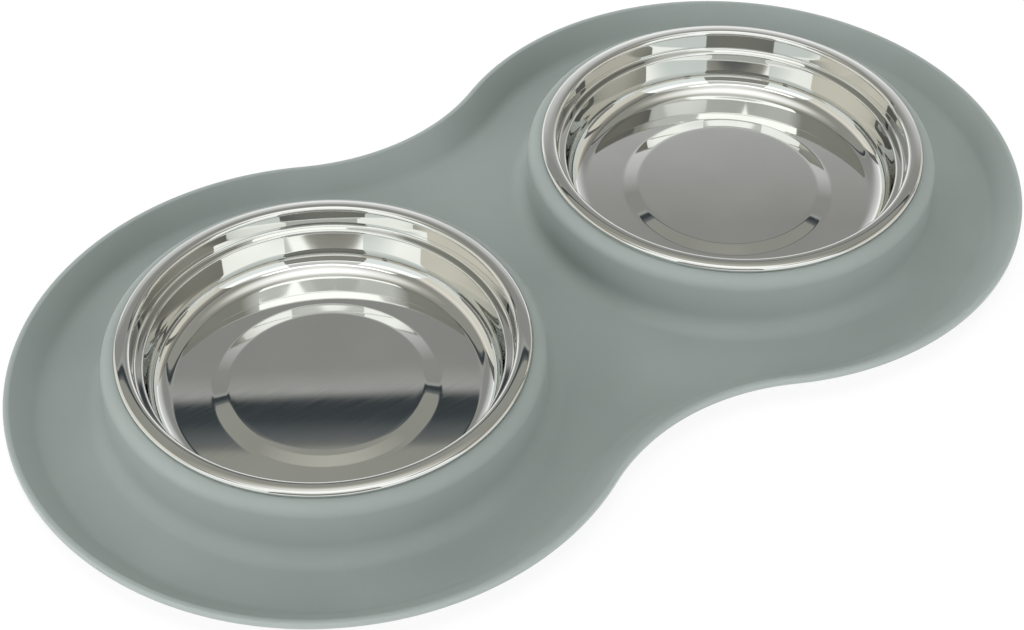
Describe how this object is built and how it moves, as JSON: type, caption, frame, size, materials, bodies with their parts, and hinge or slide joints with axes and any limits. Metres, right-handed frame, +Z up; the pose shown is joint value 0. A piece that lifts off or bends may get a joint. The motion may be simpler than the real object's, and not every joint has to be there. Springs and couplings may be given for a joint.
{
  "type": "double pet bowl",
  "caption": "Shallow steel bowls that hang by their rims in raised collars of a figure-of-eight silicone tray, whose upturned lip catches spills.",
  "frame": {"origin": "on the table, midway between the two bowls, in the middle of the tray's footprint", "axes": "+X from the left bowl to the right bowl, +Z up, +Y towards the back long side"},
  "size_m": [0.366, 0.2012, 0.0254],
  "materials": {
    "silicone": "moulded silicone, matte grey with a soft sheen",
    "polished_steel": "mirror-polished stainless steel with faint wiping marks"
  },
  "bodies": {
    "tray": {"tray_mat": "silicone"},
    "left_bowl": {"left_bowl": "polished_steel"},
    "right_bowl": {"right_bowl": "polished_steel"}
  },
  "joints": [
    {"name": "left_bowl_lift", "type": "slide", "parent": "tray", "child": "left_bowl", "axis": [0, 0, 1], "range_m": [0, 0.04]},
    {"name": "right_bowl_lift", "type": "slide", "parent": "tray", "child": "right_bowl", "axis": [0, 0, 1], "range_m": [0, 0.04]}
  ]
}
